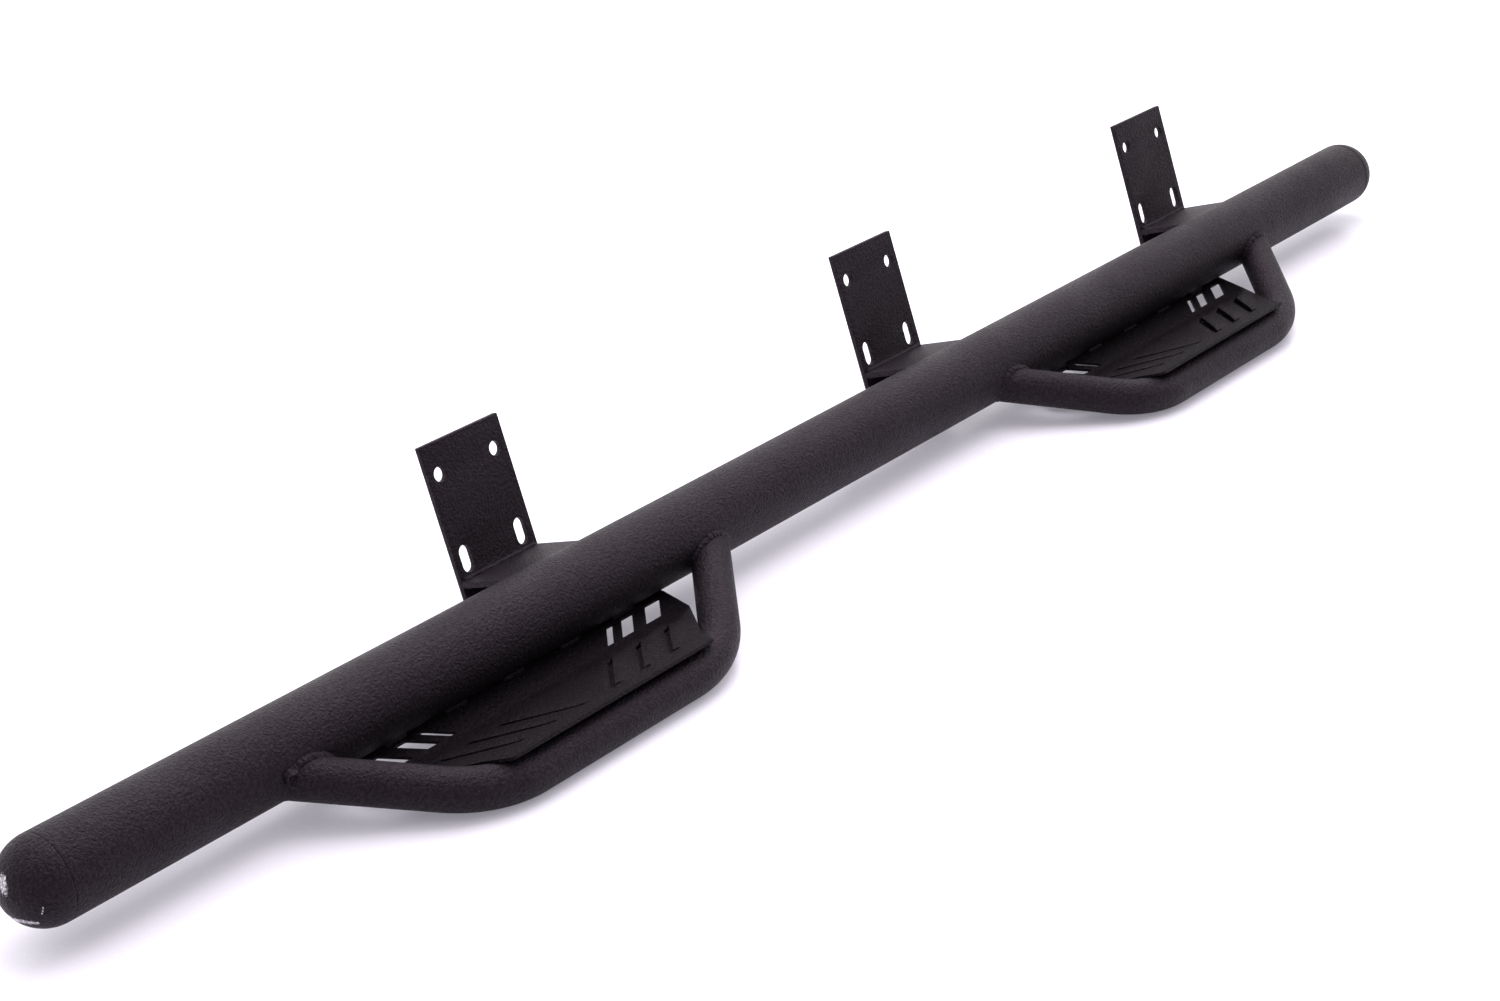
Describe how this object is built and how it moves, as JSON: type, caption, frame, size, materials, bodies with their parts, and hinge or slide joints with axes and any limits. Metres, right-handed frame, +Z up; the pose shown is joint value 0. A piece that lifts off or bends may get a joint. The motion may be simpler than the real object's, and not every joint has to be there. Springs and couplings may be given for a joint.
{
  "type": "running board",
  "caption": "Round tube running board with drop-down hoop steps, stamped step plates and stand-off brackets that bolt to a truck's side.",
  "frame": {"origin": "on the middle bracket plate's rear face, midway between its two upper bolt holes", "axes": "+X along the main tube towards its right end as seen from outside, +Y towards the vehicle, +Z up"},
  "size_m": [2.0922, 0.243, 0.261],
  "materials": {
    "coated_tube": "textured matte black powder coat on tube",
    "coated_cap": "textured matte black powder coat, scuffed to bare steel at the left end",
    "coated_sheet": "textured matte black powder coat on stamped sheet",
    "coated_plate": "textured matte black powder coat on cut plate",
    "coated_weld": "matte black powder coat over rippled weld bead"
  },
  "bodies": {
    "root": {"main_tube": "coated_tube", "left_end_cap": "coated_cap", "right_end_cap": "coated_cap", "left_step_hoop": "coated_tube", "left_step_plate": "coated_sheet", "left_hoop_weld_left": "coated_weld", "left_hoop_weld_right": "coated_weld", "left_step_plate_welds": "coated_weld", "right_step_hoop": "coated_tube", "right_step_plate": "coated_sheet", "right_hoop_weld_left": "coated_weld", "right_hoop_weld_right": "coated_weld", "right_step_plate_welds": "coated_weld", "left_mount_plate": "coated_plate", "left_mount_arm": "coated_plate", "left_mount_gusset": "coated_plate", "left_arm_to_tube_weld": "coated_weld", "left_arm_to_plate_weld": "coated_weld", "middle_mount_plate": "coated_plate", "middle_mount_arm": "coated_plate", "middle_mount_gusset": "coated_plate", "middle_arm_to_tube_weld": "coated_weld", "middle_arm_to_plate_weld": "coated_weld", "right_mount_plate": "coated_plate", "right_mount_arm": "coated_plate", "right_mount_gusset": "coated_plate", "right_arm_to_tube_weld": "coated_weld", "right_arm_to_plate_weld": "coated_weld", "vent_plug_weld": "coated_weld"}
  },
  "joints": []
}
